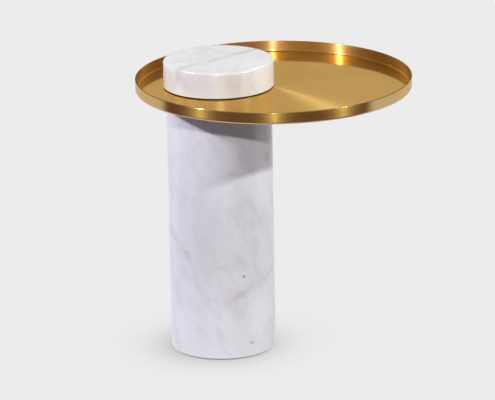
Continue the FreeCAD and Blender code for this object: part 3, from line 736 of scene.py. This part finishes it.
class SIDETABLE_OT_column(bpy.types.Operator):
    """Model the hollow marble column"""

    bl_idname = "side_table.column"
    bl_label = "Marble column"

    def execute(self, context):
        settings = context.scene.side_table
        sizes = settings.sizes
        colours = settings.colours
        low = bottom("marble_column")
        high = top("marble_column")
        bm = section_wire([
            (sizes.seat_radius, low), (sizes.column_radius, low), (sizes.column_radius, high),
            (sizes.seat_radius, high), (sizes.seat_radius, sizes.high_seat),
            (sizes.bore_radius, sizes.high_seat), (sizes.bore_radius, sizes.low_seat),
            (sizes.seat_radius, sizes.low_seat),
        ], {1: sizes.column_edge, 2: sizes.column_edge})
        spin_round(bm)
        mark = wall_marker(sizes.column_radius)
        grey = colours.stone_cloud
        spots = [
            # Painted shade: a broad grey on the front of the column, the side that faces the camera.
            mark(-94.0, 0.225, (0.055, 0.060, 0.150), 1.0, grey, 0.58),
            mark(-88.0, 0.070, (0.060, 0.050, 0.075), 1.0, grey, 0.10),
            # Painted shade: grey round the foot of the column, fading up from the floor.
            ((0.0, 0.0, low), (9.0, 9.0, 0.060), 0.6, grey, 0.30),
            mark(-40.0, 0.080, (0.040, 0.045, 0.065), 1.2, colours.stone, 0.85),
            mark(-109.0, 0.296, (0.022, 0.020, 0.024), 1.6, grey, 0.34),
            mark(-64.9, 0.279, (0.024, 0.022, 0.030), 1.6, grey, 0.36),
            mark(-42.9, 0.254, (0.024, 0.022, 0.018), 1.6, grey, 0.34),
            mark(-74.9, 0.180, (0.030, 0.026, 0.018), 1.6, grey, 0.38),
            mark(-135.1, 0.105, (0.016, 0.016, 0.026), 1.6, grey, 0.34),
            mark(-63.6, 0.090, (0.026, 0.024, 0.034), 1.6, grey, 0.12),
            mark(-20.1, 0.3715, (0.014, 0.013, 0.012), 0.8, colours.stone_ochre, 0.50),
            mark(-103.2, 0.409, (0.006, 0.006, 0.005), 0.8, grey, 0.45),
            mark(-70.7, 0.353, (0.012, 0.010, 0.0055), 1.0, colours.stone_vein, 0.32),
            mark(-63.2, 0.125, (0.014, 0.014, 0.011), 1.0, colours.stone_ochre, 0.24),
            mark(-77.0, 0.110, (0.018, 0.014, 0.010), 1.2, colours.stone_rose, 0.12),
            mark(-143.0, 0.221, (0.009, 0.009, 0.014), 1.0, colours.stone_rose, 0.50),
            mark(-123.6, 0.199, (0.011, 0.011, 0.010), 1.2, colours.stone_vein, 0.22),
            mark(-58.2, 0.157, (0.0040, 0.0040, 0.0042), 0.3, colours.stone_pit, 0.62),
            mark(-49.4, 0.028, (0.0075, 0.0075, 0.0040), 0.5, colours.stone_vein, 0.70),
        ]
        vein_course = [
            (-180, 0.236), (-142.9, 0.220), (-123.6, 0.199), (-112.3, 0.151), (-103.1, 0.118),
            (-89.8, 0.106), (-76.7, 0.112), (-63.2, 0.124), (-44.4, 0.137), (-22.4, 0.146), (15, 0.19),
            (50, 0.27), (85, 0.34), (120, 0.33), (150, 0.28), (180, 0.236),
        ]
        sheets = [
            ((0.80, 0.10, 0.60), 0.150, 0.012, grey, 0.22),
            ((0.78, -0.16, 0.60), 0.235, 0.016, grey, 0.20),
            ((0.36, 0.78, 0.51), 0.115, 0.010, grey, 0.28),
            ((0.70, 0.58, 0.42), 0.185, 0.012, grey, 0.28),
        ]
        material = marble("Column marble", settings, gloss=0.09, vein_course=vein_course, sheets=sheets,
                          spots=spots, cool=1.0)
        finished("column_stone", bm, material, "column", "marble", "marble_column")
        return {"FINISHED"}


class SIDETABLE_OT_cap(bpy.types.Operator):
    """Model the marble cap, with the recess, bore and groove under it"""

    bl_idname = "side_table.cap"
    bl_label = "Marble cap"

    def execute(self, context):
        settings = context.scene.side_table
        sizes = settings.sizes
        colours = settings.colours
        low = bottom("marble_cap")
        high = top("marble_cap")
        ring_outside = half_width("upper_thrust_ring")
        groove_inside = ring_outside - sizes.high_ring_width - sizes.ring_play
        groove_outside = ring_outside + sizes.ring_play
        bm = section_wire([
            (sizes.recess_radius, sizes.recess_top), (sizes.recess_radius, low), (groove_inside, low),
            (groove_inside, low + sizes.groove_depth), (groove_outside, low + sizes.groove_depth),
            (groove_outside, low), (sizes.cap_radius, low), (sizes.cap_radius, high), (0.0, high),
        ], {6: sizes.cap_low_edge, 7: sizes.cap_top_edge}, closed=False)
        spin_round(bm)
        ceiling = open_rim(bm, sizes.recess_top)
        holes = [((0.0, 0.0), sizes.boss_bore, sizes.boss_bore_top)]
        holes += [(place, sizes.insert_hole, sizes.insert_hole_top)
                  for place in four_round(sizes.insert_distance)]
        for place, radius, end in holes:
            mouth = hole_rim(bm, place, radius, sizes.recess_top)
            inner = hole_rim(bm, place, radius, end)
            bmesh.ops.bridge_loops(bm, edges=mouth + inner)
            bmesh.ops.edgeloop_fill(bm, edges=inner)
            ceiling += mouth
        fill_level(bm, ceiling, -1)
        grey = colours.stone_cloud
        cool = colours.stone_cool
        sheets = [
            ((0.785, -0.619, 0.05), 0.0265, 0.018, grey, 0.42),
            ((0.785, -0.619, 0.05), 0.0265, 0.009, colours.stone_vein, 0.62),
            ((0.55, -0.83, -0.12), -0.055, 0.014, grey, 0.14),
            ((0.83, 0.52, 0.22), 0.085, 0.010, grey, 0.22),
        ]
        mark = wall_marker(sizes.cap_radius)
        spots = [
            # Painted cool shade on the cap's side, in front, on the right and behind, against the warm
            # light that the brass sends up. Behind, it also darkens the cap as the tray reflects it.
            mark(-100.0, 0.500, (0.130, 0.110, 0.050), 0.3, cool, 0.80),
            mark(-20.0, 0.500, (0.100, 0.100, 0.050), 0.3, cool, 0.12),
            mark(95.0, 0.500, (0.130, 0.110, 0.050), 0.3, cool, 0.70),
            # Painted shade: a faint grey over the cap's top.
            ((0.02, 0.0, high), (0.12, 0.12, 0.02), 0.5, grey, 0.12),
            mark(-105.0, 0.536, (0.080, 0.060, 0.022), 0.8, grey, 0.34),
            mark(-60.0, 0.518, (0.050, 0.046, 0.060), 0.9, colours.stone_vein, 0.22),
            # Painted cool shade on the front right of the cap's side.
            mark(-53.0, 0.517, (0.048, 0.044, 0.040), 0.8, cool, 0.36),
            mark(-128.0, 0.502, (0.016, 0.016, 0.024), 0.8, colours.stone, 0.60),
            mark(-68.3, 0.520, (0.024, 0.022, 0.022), 0.9, colours.stone_ochre, 0.55),
            mark(-72.0, 0.522, (0.034, 0.030, 0.030), 1.0, grey, 0.90),
            mark(-68.0, 0.520, (0.018, 0.016, 0.024), 0.9, colours.stone_vein, 0.26),
            mark(-124.2, 0.534, (0.008, 0.007, 0.016), 1.0, colours.stone_rose, 0.28),
            mark(-120.5, 0.522, (0.007, 0.006, 0.014), 1.0, colours.stone_rose, 0.26),
            mark(-117.0, 0.510, (0.007, 0.006, 0.014), 1.0, colours.stone_rose, 0.22),
            mark(118.0, 0.519, (0.020, 0.018, 0.016), 1.2, colours.stone_ochre, 0.20),
            mark(-95.0, 0.512, (0.036, 0.024, 0.030), 1.4, grey, 0.44),
            mark(-50.0, 0.516, (0.026, 0.026, 0.020), 1.4, colours.stone_ochre, 0.06),
            mark(30.0, 0.512, (0.030, 0.034, 0.020), 1.4, grey, 0.28),
            mark(170.0, 0.516, (0.024, 0.036, 0.020), 1.4, grey, 0.28),
        ]
        material = marble("Cap marble", settings, gloss=0.20, sheets=sheets, spots=spots)
        finished("cap_stone", bm, material, "cap", "marble", "marble_cap")
        return {"FINISHED"}


class SIDETABLE_OT_tray(bpy.types.Operator):
    """Model the spun brass tray, with the holes for its hub"""

    bl_idname = "side_table.tray"
    bl_label = "Brass tray"

    def execute(self, context):
        settings = context.scene.side_table
        sizes = settings.sizes
        centre = (sizes.tray_offset, 0.0)
        under = bottom("tray_pan")
        rim = top("tray_pan")
        floor = under + sizes.tray_sheet
        wall = sizes.tray_radius - sizes.tray_sheet
        flat = wall - FLAT_BENDS * sizes.tray_bend
        corners = [
            (flat, floor), (wall, floor), (wall, rim), (sizes.tray_radius, rim),
            (sizes.tray_radius, under), (flat, under),
        ]
        outer_bend = sizes.tray_bend + sizes.tray_sheet
        rounds = {1: sizes.tray_bend, 2: sizes.tray_lip, 3: sizes.tray_lip, 4: outer_bend}
        bm = section_wire(corners, rounds, centre, closed=False)
        spin_round(bm, centre)
        upper = open_rim(bm, floor)
        lower = open_rim(bm, under)
        holes = [((0.0, 0.0), sizes.hub_hole)]
        holes += [(place, sizes.screw_hole) for place in four_round(sizes.screw_distance)]
        for place, radius in holes:
            mouth = hole_rim(bm, place, radius, floor)
            outlet = hole_rim(bm, place, radius, under)
            bmesh.ops.bridge_loops(bm, edges=mouth + outlet)
            upper += mouth
            lower += outlet
        fill_level(bm, upper, 1)
        fill_level(bm, lower, -1)
        finished("tray_brass", bm, lacquered_brass(settings), "tray", "brass", "tray_pan")
        return {"FINISHED"}


class SIDETABLE_OT_pad_and_rings(bpy.types.Operator):
    """Model the rubber pad under the column and the two nylon rings that the tray turns between"""

    bl_idname = "side_table.pad_and_rings"
    bl_label = "Pad and rings"

    def execute(self, context):
        settings = context.scene.side_table
        sizes = settings.sizes
        radius = half_width("base_pad")
        low = bottom("base_pad")
        high = top("base_pad")
        bm = section_wire([
            (0.0, low), (radius - sizes.pad_chamfer, low), (radius, low + sizes.pad_chamfer),
            (radius, high), (0.0, high),
        ], {}, closed=False)
        spin_round(bm)
        rubber = moulded("Pad rubber", settings.colours.pad, roughness=0.72, grain=900.0, depth=0.0002)
        finished("foot_pad", bm, rubber, "column", "rubber", "base_pad")
        nylon = moulded("Ring nylon", settings.colours.nylon, roughness=0.46, grain=1600.0, depth=0.00008)
        for piece, body, cad_node, width in (
            ("lower_ring", "column", "lower_thrust_ring", sizes.low_ring_width),
            ("upper_ring", "cap_ring", "upper_thrust_ring", sizes.high_ring_width),
        ):
            outside = half_width(cad_node)
            inside = outside - width
            low = bottom(cad_node)
            high = top(cad_node)
            bm = section_wire([(inside, low), (outside, low), (outside, high), (inside, high)], {})
            spin_round(bm)
            finished(piece, bm, nylon, body, "nylon", cad_node)
        return {"FINISHED"}


class SIDETABLE_OT_hardware(bpy.types.Operator):
    """Finish the plates, hub, fasteners and other hardware, which keep their CAD shapes"""

    bl_idname = "side_table.hardware"
    bl_label = "Hardware finishes"

    def execute(self, context):
        colours = context.scene.side_table.colours
        steel = turned_metal("Turned steel", colours.steel, roughness=0.30, pitch=2400.0)
        zinc = plated_metal("Zinc plate", colours.zinc, roughness=0.28)
        thread = plated_metal("Threaded rod", colours.zinc, roughness=0.30, thread_pitch=0.00175)
        insert = plated_metal("Insert brass", colours.insert, roughness=0.26)
        rubber = moulded("Gasket rubber", colours.rubber, roughness=0.70, grain=1200.0, depth=0.0001)
        nylon = moulded("Bush nylon", colours.nylon, roughness=0.42, grain=1800.0, depth=0.00006)
        finishes = {
            steel: ("bottom_plate", "top_plate", "spindle_sleeve", "tray_hub", "cap_flange"),
            zinc: (
                "bottom_washer", "top_washer", "bottom_nut", "top_nut", "hub_screws", "cap_flange_screws",
            ),
            thread: ("tie_rod",),
            insert: ("cap_inserts",),
            rubber: ("bottom_gasket", "top_gasket"),
            nylon: ("hub_bush",),
        }
        for material, names in finishes.items():
            for name in names:
                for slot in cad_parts[name].material_slots:
                    slot.material = material
        return {"FINISHED"}


LAMP_AIM = Vector((0.05, 0.0, 0.40))
LAMPS = {  # azimuth, distance from the column's axis, height, width and tint
    "front_lamp": (2.4, 2.2, 1.36, 0.07, WHITE),
    "right_lamp": (58.7, 1.6, 1.26, 0.06, WHITE),
    "left_lamp": (-63.0, 2.2, 1.68, 0.12, (0.97, 0.97, 1.0)),
    "back_lamp": (158.0, 1.5, 1.90, 0.16, WHITE),
}


def studio_axes(studio):
    """The level directions away from the camera and to its right."""
    turn = studio.camera_turn
    return Vector((-math.sin(turn), math.cos(turn), 0.0)), Vector((math.cos(turn), math.sin(turn), 0.0))


def studio_lamp(name, studio):
    """A round lamp aimed at the table. Its setting is what a white surface that faces it there shows."""
    azimuth, reach, height, across, tint = LAMPS[name]
    away, right = studio_axes(studio)
    turn = math.radians(azimuth)
    place = (right * math.sin(turn) - away * math.cos(turn)) * reach + Vector((0.0, 0.0, height))
    back = place - LAMP_AIM
    data = bpy.data.lights.new(name, "AREA")
    data.shape = "DISK"
    data.size = across
    data.energy = getattr(studio, name) * math.pi ** 2 * back.length_squared
    data.color = tint
    lamp = bpy.data.objects.new(name, data)
    lamp.matrix_world = Matrix.Translation(place) @ back.to_track_quat("Z", "Y").to_matrix().to_4x4()
    lamp.visible_camera = False
    bpy.context.scene.collection.objects.link(lamp)


def seen_rays(tree):
    """1 for rays from the camera, and 1 for those that gloss or glass sends on from the camera."""
    path = tree.nodes.new("ShaderNodeLightPath").outputs
    mirrored = maths(tree, "MAXIMUM", path["Is Glossy Ray"], path["Is Transmission Ray"])
    direct = maths(tree, "LESS_THAN", path["Diffuse Depth"], 0.5)
    return path["Is Camera Ray"], maths(tree, "MULTIPLY", mirrored, direct)


ROOM_EDGES = ((0.24, -0.20), (0.145, 0.0))  # slope and start of the two stretches of the dark room's edge
ROOM_FADE = (-0.2, 0.2)
TABLE_AREA = (0.35, 0.8)  # from the column's axis, where the paper that belongs to the table fades
FOOT_AREA = (0.15, 0.45)  # the same for the bright paper at the foot
SHADE_REACH = 0.14  # how near a piece must be to shade the paper
SHADE_FULL = 0.35  # openness below which the shade is full
SHADE_TURN = (-0.2, 0.2)  # from the right to the left of the foot
SHADE_LEVELS = (0.74, 0.58)  # brightness in full shade on the right, and on the left
LIT_PAPER = (0.8, 0.8, 0.8)
FOOT_RETURN = (0.6, 0.6, 0.6)  # what the paper at the foot sends back up
RETURN_TINT = (1.02, 0.97, 1.16)


def paper_floor(settings):
    """Pale paper: bright to the eye, with a soft shade at the foot, and dim for the light that it returns.

    Polished metal and stone see it end in a dark room in front of the table.
    """
    studio = settings.studio
    paper = settings.colours.paper
    material, tree, surface, place = new_material("Floor paper")
    camera_ray, mirrored = seen_rays(tree)
    away, right = studio_axes(studio)
    reach = vector_maths(tree, "LENGTH", place)
    depth = vector_maths(tree, "DOT_PRODUCT", place, away)
    leftwards = vector_maths(tree, "DOT_PRODUCT", place, -right)
    edges = [maths(tree, "MULTIPLY_ADD", leftwards, slope, start) for slope, start in ROOM_EDGES]
    edge = maths(tree, "MAXIMUM", *edges)
    near = fading(tree, reach, *TABLE_AREA)
    behind = spread(tree, maths(tree, "SUBTRACT", depth, edge), *ROOM_FADE)
    mirror = blended(tree, maths(tree, "MAXIMUM", behind, near), studio.mirror_low, paper)
    openness = node(tree, "AmbientOcclusion", {"Distance": SHADE_REACH}, samples=16).outputs["AO"]
    darkest = spread(tree, leftwards, *SHADE_TURN, *SHADE_LEVELS)
    bright = blended(tree, spread(tree, openness, SHADE_FULL, 1.0, darkest, 1.0), BLACK, paper)
    bright = blended(tree, mirrored, bright, mirror)
    glow = node(tree, "Emission", {"Color": bright}).outputs["Emission"]
    lit = node(tree, "BsdfDiffuse", {"Color": LIT_PAPER}).outputs["BSDF"]
    share = maths(tree, "MULTIPLY", near, studio.shadow_share)
    seen = node(tree, "MixShader", {0: share, 1: glow, 2: lit}).outputs["Shader"]
    dull = toned(RETURN_TINT, studio.floor_return)
    give = blended(tree, fading(tree, reach, *FOOT_AREA), dull, FOOT_RETURN)
    dim = node(tree, "BsdfDiffuse", {"Color": give}).outputs["BSDF"]
    either = maths(tree, "MAXIMUM", camera_ray, mirrored)
    feed(tree, surface, node(tree, "MixShader", {0: either, 1: dim, 2: seen}).outputs["Shader"])
    return material


# Where the studio changes. Depth runs from -1 on the camera's side to 1 behind the table, rise up to 1.
FILL_DEPTH = (-0.45, 0.35)  # the fill, from its front to the paper at the sides and behind
SIDE_DEPTH = (-0.9, -0.4)  # the mirrored room, from its front to its sides
BACK_DEPTH = (0.45, 0.88)  # and from its sides to its back
CEILING_RISE = (0.5, 0.8)
GROUND_RISE = (-0.06, 0.02)


def studio_world(settings):
    """An even backdrop to the eye, a room with a pale back to polished metal, and a soft fill."""
    studio = settings.studio
    world = bpy.data.worlds.new("Studio")
    world.use_nodes = True
    world.cycles.sampling_method = "NONE"
    tree = world.node_tree
    tree.nodes.clear()
    out = tree.nodes.new("ShaderNodeOutputWorld").inputs["Surface"]
    heading = tree.nodes.new("ShaderNodeTexCoord").outputs["Generated"]
    rise = node(tree, "SeparateXYZ", {0: heading}).outputs[2]
    camera_ray, mirrored = seen_rays(tree)
    away, _ = studio_axes(studio)
    depth = vector_maths(tree, "DOT_PRODUCT", heading, away)
    around = spread(tree, depth, *FILL_DEPTH, studio.level_fill, studio.paper_fill)
    upwards = spread(tree, rise, 0.0, 1.0)
    fill = node(tree, "Mix", {0: upwards, 2: around, 3: studio.zenith_fill}).outputs[0]
    room = spread(tree, depth, *SIDE_DEPTH, studio.mirror_front, studio.mirror_side)
    mirror = blended(tree, 1.0, room, studio.mirror_warmth, "MULTIPLY")
    mirror = blended(tree, spread(tree, depth, *BACK_DEPTH), mirror, toned(WHITE, studio.mirror_back))
    mirror = blended(tree, spread(tree, rise, *CEILING_RISE), mirror, toned(WHITE, studio.mirror_zenith))
    mirror = blended(tree, spread(tree, rise, *GROUND_RISE), studio.mirror_low, mirror)
    level = blended(tree, mirrored, fill, mirror)
    level = blended(tree, camera_ray, level, settings.colours.paper)
    feed(tree, out, node(tree, "Background", {"Color": level}).outputs["Background"])
    return world


FLOOR_HALF = 5.0  # half the width of the floor
SENSOR_WIDTH = 36.0  # millimetres
CLIP_END = 100.0


class SIDETABLE_OT_stage(bpy.types.Operator):
    """Set up the floor, the lamps, the background and the camera"""

    bl_idname = "side_table.stage"
    bl_label = "Stage"

    def execute(self, context):
        settings = context.scene.side_table
        studio = settings.studio
        scene = context.scene
        bm = bmesh.new()
        bmesh.ops.create_grid(bm, x_segments=1, y_segments=1, size=FLOOR_HALF)
        mesh = bpy.data.meshes.new("floor_paper")
        bm.to_mesh(mesh)
        bm.free()
        mesh.materials.append(paper_floor(settings))
        floor = bpy.data.objects.new("floor_paper", mesh)
        scene.collection.objects.link(floor)
        for name in LAMPS:
            studio_lamp(name, studio)
        scene.world = studio_world(settings)
        data = bpy.data.cameras.new("camera")
        data.sensor_fit = "HORIZONTAL"
        data.sensor_width = SENSOR_WIDTH
        data.lens = studio.lens
        data.clip_end = CLIP_END
        camera = bpy.data.objects.new("camera", data)
        camera.matrix_world = (
            Matrix.Translation(studio.camera_place)
            @ Matrix.Rotation(studio.camera_turn, 4, "Z")
            @ Matrix.Rotation(math.pi / 2 - studio.camera_dip, 4, "X")
            @ Matrix.Rotation(studio.camera_roll, 4, "Z")
        )
        scene.collection.objects.link(camera)
        scene.camera = camera
        scene.view_settings.view_transform = "Standard"
        return {"FINISHED"}


OPERATORS = (
    SIDETABLE_OT_column,
    SIDETABLE_OT_tray,
    SIDETABLE_OT_cap,
    SIDETABLE_OT_pad_and_rings,
    SIDETABLE_OT_hardware,
    SIDETABLE_OT_stage,
)


class SIDETABLE_PT_panel(bpy.types.Panel):
    """Sizes, colours and studio of the side table, and the operators that make it"""

    bl_idname = "SIDETABLE_PT_panel"
    bl_label = "Side table"
    bl_space_type = "VIEW_3D"
    bl_region_type = "UI"
    bl_category = "Side table"

    def draw(self, context):
        settings = context.scene.side_table
        for title in settings.__annotations__:
            group = getattr(settings, title)
            box = self.layout.box()
            box.label(text=title.capitalize())
            for name in group.__annotations__:
                box.prop(group, name)
        for operator in OPERATORS:
            self.layout.operator(operator.bl_idname)


CLASSES = (
    SideTableSizes,
    SideTableColours,
    SideTableStudio,
    SideTableSettings,
    *OPERATORS,
    SIDETABLE_PT_panel,
)


def register():
    for cls in CLASSES:
        bpy.utils.register_class(cls)
    bpy.types.Scene.side_table = PointerProperty(type=SideTableSettings)


def unregister():
    del bpy.types.Scene.side_table
    for cls in reversed(CLASSES):
        bpy.utils.unregister_class(cls)


def main():
    register()
    bpy.ops.side_table.column()
    bpy.ops.side_table.tray()
    bpy.ops.side_table.cap()
    bpy.ops.side_table.pad_and_rings()
    bpy.ops.side_table.hardware()
    bpy.ops.side_table.stage()


if __name__ == "__main__":
    main()
